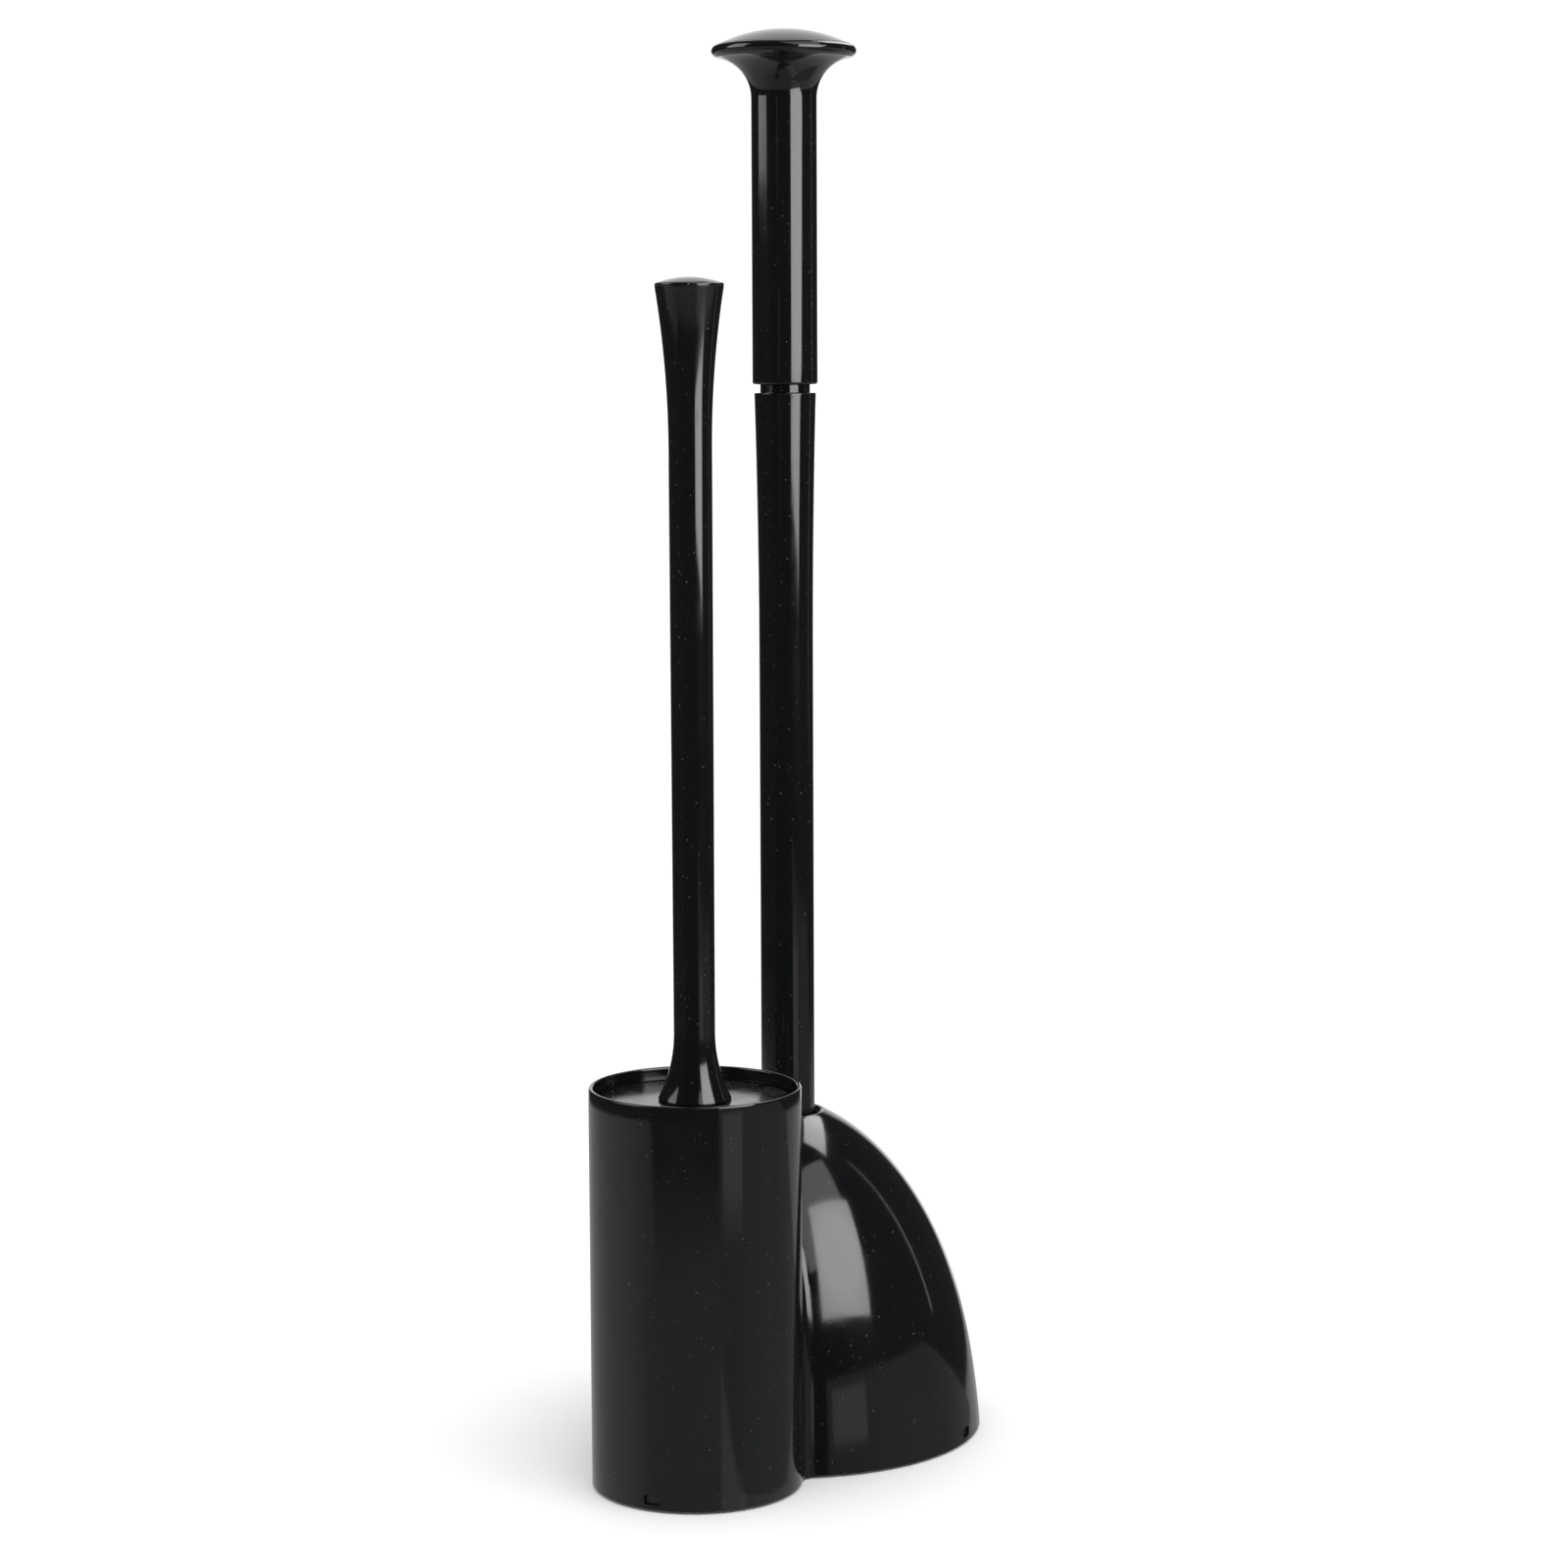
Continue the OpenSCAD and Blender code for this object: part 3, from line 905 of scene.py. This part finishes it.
def rod(length, bow):
    """One bristle: a thin four-sided rod up from the origin, bowed sideways."""
    obj = settle(add(
        bpy.ops.mesh.primitive_cylinder_add, "rod",
        vertices=4, radius=sizes().bristle_d / 2, depth=length, location=(0, 0, length / 2),
    ))
    mesh = edit(obj)
    for share in (0.35, 0.7):
        bpy.ops.mesh.select_all(action="SELECT")
        bpy.ops.mesh.bisect(plane_co=(0, 0, length * share), plane_no=(0, 0, 1))
    bpy.ops.mesh.select_all(action="DESELECT")
    mesh = bmesh.from_edit_mesh(obj.data)
    for v in mesh.verts:
        v.select = length * 0.1 < v.co.z < length * 0.9
    mesh.select_flush(True)
    bmesh.update_edit_mesh(obj.data)
    bpy.ops.transform.translate(value=(bow, 0, 0))
    object_mode()
    return obj


def copy(obj, *moves):
    """A copy with its own mesh, moved by these matrices, the last one first."""
    made = obj.copy()
    made.data = obj.data.copy()
    bpy.context.scene.collection.objects.link(made)
    for move in reversed(moves):
        made.data.transform(move)
    return made


def tuft(reach, fan, seed):
    """Bristles that leave one hole and fan out, up from the origin. fan is in degrees."""
    p = sizes()
    rng = random.Random(seed)
    model = rod(reach, 0.35 * MM)
    made = []
    for i in range(p.bristles_per_tuft):
        around = math.tau * i * 0.382
        spread = math.sqrt((i + 0.5) / p.bristles_per_tuft)
        made.append(copy(
            model,
            Matrix.Rotation(around, 4, "Z"),
            Matrix.Translation((spread * MM, 0, 0)),
            rotation(fan * spread * rng.uniform(0.7, 1.1), "Y"),
            Matrix.Rotation(rng.uniform(0, math.tau), 4, "Z"),
            Matrix.Diagonal((1, 1, rng.uniform(0.95, 1.0), 1)),
        ))
    bpy.data.objects.remove(model)
    return join(*made)


def crown_of_tufts(model, at, root_r, lean, count, phase=0.0):
    """Copies of a tuft in a ring round the upright line at a point. lean 0 points up, 90 straight out."""
    return [
        copy(
            model,
            Matrix.Translation(at),
            Matrix.Rotation(math.tau * (i + phase) / count, 4, "Z"),
            Matrix.Translation((root_r, 0, 0)),
            rotation(lean, "Y"),
            Matrix.Rotation(i * 2.4, 4, "Z"),
        )
        for i in range(count)
    ]


class CADDY_OT_bristles(bpy.types.Operator):
    """Model every row of bristle tufts and the tufts at the end of the head"""

    bl_idname = "caddy.bristles"
    bl_label = "Bristle tufts"

    def execute(self, context):
        p = sizes()
        root_r = 10.3 * MM
        side = tuft(p.bristle_r - root_r - 0.4 * MM, 4.6, 11)
        rows = sorted(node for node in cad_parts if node.startswith("bristle_row_"))
        for index, node in enumerate(rows):
            at = (p.cup_x, 0, (low(node).z + high(node).z) / 2)
            row = join(*crown_of_tufts(side, at, root_r, 90, p.tufts_per_row, index % 2 / 2))
            finished(row, node + "_visual", "bristle_white", "brush", [node])
        bpy.data.objects.remove(side)
        self.tip("tip_tufts")
        return {"FINISHED"}

    def tip(self, node):
        """Three rings of tufts that leave the core's end, the outer ones leaning out."""
        p = sizes()
        at = (p.cup_x, 0, high(node).z + 0.8 * MM)
        depth = high(node).z - low(node).z
        model = tuft(depth, 5.5, 23)
        made = []
        for count, root_r, lean in ((14, 8.6 * MM, 130), (9, 5.4 * MM, 152), (4, 2.2 * MM, 170)):
            made += crown_of_tufts(model, at, root_r, lean, count)
        bpy.data.objects.remove(model)
        finished(join(*made), node + "_visual", "bristle_white", "brush", [node])


# -------------------- plunger


GRIP_R, RIM_H = 14 * MM, 5.3 * MM  # the grip's radius, and the height of the knob's rim


class CADDY_OT_plunger_handle(bpy.types.Operator):
    """Model the plunger's tube, grip and knob"""

    bl_idname = "caddy.plunger_handle"
    bl_label = "Plunger handle"

    def execute(self, context):
        self.tube()
        self.grip()
        self.knob()
        return {"FINISHED"}

    def tube(self):
        p = sizes()
        bottom, top = low("plunger_tube").z, high("plunger_tube").z
        tube_r, shoulder_r, spigot_r = 11.65 * MM, radius("plunger_tube"), 10.7 * MM
        shoulder_z = low("plunger_grip").z - 3.5 * MM
        flare_h, bore = 112 * MM, 9.85 * MM
        big = flare_radius(shoulder_r - tube_r, flare_h)
        flare = arc((tube_r + big, shoulder_z - flare_h), big, 180,
                    180 - math.degrees(math.asin((flare_h - 1.0 * MM) / big)), 24)
        straight = [(tube_r, bottom + (shoulder_z - flare_h - bottom) * i / 16) for i in range(1, 16)]
        outline = [
            (bore, bottom), (tube_r, bottom, 0.4 * MM), *straight, *flare,
            (shoulder_r, shoulder_z, 0.9 * MM), (spigot_r, shoulder_z, 0.25 * MM), (spigot_r, top, 0.5 * MM),
            (spigot_r - 2 * MM, top), (spigot_r - 2 * MM, shoulder_z - 2 * MM), (bore, shoulder_z - 2 * MM),
        ]
        tube = lathe("tube", rounded(outline), p.dome_x, 96)
        finished(tube, "plunger_tube_visual", "handle_black", "plunger", ["plunger_tube"])

    def grip(self):
        p = sizes()
        bottom, rim = low("plunger_grip").z, high("plunger_grip").z
        knob_r, bore = radius("plunger_grip"), 10.9 * MM
        flare = knob_r - GRIP_R
        under = rim - RIM_H
        seat_r, seat_z = knob_r - 2.5 * MM, under + 1 * MM
        core = knob_r - bore
        middle = (knob_r, under - flare)
        straight = [(GRIP_R, bottom + (under - flare - bottom) * i / 12) for i in range(1, 12)]
        sweep = arc(middle, flare, 180, 97, 20)
        edge = (rim - under) / 2
        outline = [
            (bore, bottom), (GRIP_R, bottom, MM), *straight, *sweep,
            *arc((knob_r - edge, (under + rim) / 2), edge, -72, 84, 16), (seat_r, rim), (seat_r, seat_z),
            *arc(middle, core, 180 - math.degrees(math.asin((seat_z - middle[1]) / core)), 180, 12),
        ]
        grip = lathe("grip", rounded(outline, 8), p.dome_x, 128)
        seams = [self.parting_line(degrees) for degrees in (192, 12)]
        finished(join(grip, *seams), "plunger_grip_visual", "handle_black", "plunger", ["plunger_grip"])

    def parting_line(self, degrees):
        """The fine raised line where the halves of the grip's mould met."""
        p = sizes()
        bottom, top = low("plunger_grip").z + 1.2 * MM, high("plunger_grip").z - RIM_H - 17 * MM
        t = math.radians(degrees)
        r = GRIP_R - 0.04 * MM
        points = [(p.dome_x + r * math.cos(t), r * math.sin(t), bottom + (top - bottom) * i / 8) for i in range(9)]
        return wire("parting_line", points, 0.11 * MM, sides=1)

    def knob(self):
        p = sizes()
        bottom, top = low("knob_cap").z, high("knob_cap").z
        rim = high("plunger_grip").z
        crown_r, seat_r, stem_r = radius("knob_cap") - 0.8 * MM, radius("plunger_grip") - 2.7 * MM, 10.7 * MM
        crown = flare_radius(top - rim, crown_r)
        dome = arc((0, top - crown), crown, math.degrees(math.acos((crown_r - 0.6 * MM) / crown)), 90, 20)
        seat = rim - 4.1 * MM
        outline = [
            (0, bottom), (stem_r, bottom, 0.8 * MM), (stem_r, seat - 8 * MM), (stem_r - 2 * MM, seat),
            (seat_r, seat), (seat_r, rim + 0.05 * MM), (crown_r, rim + 0.05 * MM, 0.15 * MM), *dome,
        ]
        knob = lathe("knob", rounded(outline), p.dome_x, 128)
        finished(knob, "knob_cap_visual", "handle_black", "plunger", ["knob_cap"])


class CADDY_OT_rubber_cup(bpy.types.Operator):
    """Model the rubber cup and the plug that joins it to the tube"""

    bl_idname = "caddy.rubber_cup"
    bl_label = "Rubber cup"

    def execute(self, context):
        p = sizes()
        z, top = low("rubber_cup").z, high("rubber_cup").z
        r, neck, plug = radius("rubber_cup"), 17 * MM, 10 * MM
        bead, neck_h, wall = 6 * MM, 22 * MM, 3.5 * MM
        belly, rise = r - 2 * MM, top - z - neck_h - bead
        inner, inner_rise = belly - wall, rise - wall
        outline = [(inner, z, 1.2 * MM), (r, z, 1.6 * MM), (r, z + bead, 1.8 * MM), (belly, z + bead, 0.6 * MM)]
        outline += [(neck + (belly - neck) * math.cos(t), z + bead + rise * math.sin(t))
                    for t in (math.radians(4 + 82 * i / 26) for i in range(27))]
        outline += [
            (neck, z + bead + rise + 0.8 * MM, 0.6 * MM), (neck, top - 8 * MM, 0.3 * MM),
            (neck - 0.8 * MM, top - 7.2 * MM, 0.3 * MM), (neck - 0.8 * MM, top - 6 * MM, 0.3 * MM),
            (neck, top - 5.2 * MM, 0.3 * MM), (neck, top, 1.8 * MM),
            (plug, top, 0.4 * MM), (plug, top - 20 * MM), (0, top - 20 * MM), (0, z + bead + inner_rise),
        ]
        outline += [(plug + (inner - plug) * math.cos(t), z + bead + inner_rise * math.sin(t))
                    for t in (math.radians(90 - 90 * i / 22) for i in range(22))]
        bell = lathe("bell", rounded(outline), p.dome_x, 160)
        finished(bell, "rubber_cup_visual", "cup_rubber", "plunger", ["rubber_cup"])

        bottom, top = low("tube_plug").z, high("tube_plug").z
        joint = high("rubber_cup").z
        shank = 9.65 * MM
        outline = rounded([
            (0, bottom), (plug, bottom, MM), (plug, joint), (shank, joint), (shank, top, MM), (0, top),
        ])
        finished(lathe("plug", outline, p.dome_x, 64), "tube_plug_visual", "inner_black", "plunger", ["tube_plug"])
        return {"FINISHED"}


# -------------------- stage


class CADDY_OT_stage(bpy.types.Operator):
    """Set up the floor, the studio lights and the camera"""

    bl_idname = "caddy.stage"
    bl_label = "Stage"

    def execute(self, context):
        context.scene.view_settings.view_transform = "Standard"
        self.floor()
        self.world()
        self.lights()
        self.camera()
        return {"FINISHED"}

    def floor(self):
        circle = bpy.ops.mesh.primitive_circle_add
        floor = add(circle, "floor", vertices=96, radius=14, fill_type="NGON", location=(0, 0, 0))
        f = Finish("pale_floor")
        f.finish(Base_Color=tuple(colours().floor), Roughness=0.7, Specular_IOR_Level=0.2)
        floor.data.materials.append(f.material)
        floor.visible_glossy = False

    def world(self):
        """A white room. Its mirror image is a studio: a lit table, pale walls and a dark side for the camera."""
        world = bpy.data.worlds.new("studio")
        bpy.context.scene.world = world
        world.use_nodes = True
        world.node_tree.nodes.clear()
        n = Nodes(world.node_tree)
        direction = n.node("ShaderNodeTexCoord").outputs["Generated"]
        level = n.node("ShaderNodeVectorMath", {"operation": "MULTIPLY"}, {0: direction, 1: (1, 1, 0)})
        level = n.node("ShaderNodeVectorMath", {"operation": "NORMALIZE"}, {0: level.outputs[0]}).outputs[0]

        def towards(azimuth):
            """Cosine of the angle in plan between the direction and an azimuth."""
            t = math.radians(azimuth)
            return n.value(
                "ShaderNodeVectorMath", {"operation": "DOT_PRODUCT"},
                {0: level, 1: (math.cos(t), math.sin(t), 0)}, "Value",
            )

        height = n.value("ShaderNodeSeparateXYZ", {}, {0: direction}, "Z")
        room, camera_azimuth, backdrop_azimuth, key_azimuth = 1.2, -160, 24, -114
        backdrop = towards(backdrop_azimuth).ramp(0.92, 0.975)
        camera_side = towards(camera_azimuth).ramp(0.66, 0.80)
        walls = (backdrop * 1.15 + 0.035) * (1 - camera_side) + camera_side * 0.008
        table = 0.46 - towards(camera_azimuth).ramp(0.2, 0.85) * 0.20
        table += towards(key_azimuth).ramp(0.96, 0.975) * 0.28
        mirror = walls + (table - walls) * (height + camera_side * 0.042).ramp(-0.180, -0.205)
        glossy = n.value("ShaderNodeLightPath", {}, {}, "Is Glossy Ray")
        background = n.node("ShaderNodeBackground", {}, {"Strength": room + glossy * (mirror - room)})
        background.inputs["Color"].default_value = (1, 1, 1, 1)
        n.node("ShaderNodeOutputWorld", {}, {0: background.outputs[0]})

    def card(self, name, origin, corners, distance, radiance):
        """A glowing card, seen in reflections only. Its corners lie in four directions (azimuth,
        elevation) from a point, in the order of a plane's vertices."""
        card = add(bpy.ops.mesh.primitive_plane_add, name, size=1)
        for vertex, (azimuth, elevation) in zip(card.data.vertices, corners):
            a, e = math.radians(azimuth), math.radians(elevation)
            way = Vector((math.cos(a) * math.cos(e), math.sin(a) * math.cos(e), math.sin(e)))
            vertex.co = Vector(origin) + way * distance
        f = Finish(name)
        middle = sum((v.co for v in card.data.vertices), Vector()) / 4
        place = f.node("ShaderNodeTexCoord").outputs["Object"]
        away = f.value("ShaderNodeVectorMath", {"operation": "DISTANCE"}, {0: place, 1: tuple(middle)}, "Value")
        glow = away.ramp(0, distance * 0.45, 1.15, 0.8)
        f.finish(Base_Color=(0, 0, 0, 1), Roughness=1.0, Specular_IOR_Level=0.0, Emission_Strength=radiance)
        f.feed(f.surface, {"Emission Color": f.mix(glow, (0, 0, 0, 1), (1, 1, 1, 1))})
        card.data.materials.append(f.material)
        card.visible_camera = card.visible_diffuse = card.visible_shadow = False

    def lights(self):
        dome = (-0.017, -0.042, 0.085)
        self.card("key_softbox", dome, ((-134, 17.5), (-98, 14), (-131, 57), (-80, 48)), 0.9, 6.6)
        self.card("top_softbox", (0.014, -0.02, 0.135), ((-1, 60), (-2, 38), (-44, 77), (-58, 62)), 1.2, 6.5)
        self.card("side_softbox", (0.02, 0, 0.55), ((140, 2), (104, 2), (140, 45), (104, 45)), 1.1, 3.2)
        self.card("stand", dome, ((-44.6, 2), (-44, 2), (-43.6, 48), (-43, 48)), 1.5, 3.5)
        self.card("low_board", dome, ((-134, -16), (-15, -16), (-134, 3), (-60, 0)), 0.95, 0.26)
        self.card("low_glow", dome, ((-131, -10), (-98, -10), (-131, 0), (-98, 0)), 0.8, 0.62)
        bpy.ops.object.light_add(type="AREA", location=(-0.6, -1.2, 1.9))
        lamp = bpy.context.object
        lamp.name = "overhead"
        lamp.rotation_euler = (lamp.location - Vector((0, 0, 0.1))).to_track_quat("Z", "Y").to_euler()
        lamp.data.size = 1.6
        lamp.data.energy = 14
        lamp.data.specular_factor = 0.0
        lamp.visible_camera = False

    def camera(self):
        pitch, yaw, roll = math.radians(-6.782), math.radians(23.912), math.radians(-0.244)
        turned = Euler((math.pi / 2 + pitch, 0, yaw - math.pi / 2)).to_matrix() @ Matrix.Rotation(roll, 3, "Z")
        bpy.ops.object.camera_add(location=(-1.4026, -0.6328, 0.4694), rotation=turned.to_euler())
        camera = bpy.context.object
        camera.data.sensor_width = 36
        camera.data.lens = 83.57
        bpy.context.scene.camera = camera


# -------------------- panel and registration


STEPS = (
    CADDY_OT_holder,
    CADDY_OT_base,
    CADDY_OT_brush_handle,
    CADDY_OT_splash_disc,
    CADDY_OT_brush_core,
    CADDY_OT_bristles,
    CADDY_OT_plunger_handle,
    CADDY_OT_rubber_cup,
    CADDY_OT_stage,
)


class CADDY_PT_panel(bpy.types.Panel):
    """Lists the caddy's pieces"""

    bl_label = "Brush and plunger caddy"
    bl_idname = "CADDY_PT_panel"
    bl_space_type = "VIEW_3D"
    bl_region_type = "UI"
    bl_category = "Caddy"

    def draw(self, context):
        for step in STEPS:
            self.layout.operator(step.bl_idname)
        for group in (context.scene.caddy_sizes, context.scene.caddy_colours):
            for key in group.bl_rna.properties.keys():
                if key not in ("rna_type", "name"):
                    self.layout.prop(group, key)


CLASSES = (CaddySizes, CaddyColours, *STEPS, CADDY_PT_panel)


def register():
    for kind in CLASSES:
        bpy.utils.register_class(kind)
    bpy.types.Scene.caddy_sizes = PointerProperty(type=CaddySizes)
    bpy.types.Scene.caddy_colours = PointerProperty(type=CaddyColours)


def unregister():
    del bpy.types.Scene.caddy_colours
    del bpy.types.Scene.caddy_sizes
    for kind in reversed(CLASSES):
        bpy.utils.unregister_class(kind)


def main():
    register()
    bpy.ops.caddy.holder()
    bpy.ops.caddy.base()
    bpy.ops.caddy.brush_handle()
    bpy.ops.caddy.splash_disc()
    bpy.ops.caddy.brush_core()
    bpy.ops.caddy.bristles()
    bpy.ops.caddy.plunger_handle()
    bpy.ops.caddy.rubber_cup()
    bpy.ops.caddy.stage()


if __name__ == "__main__":
    main()
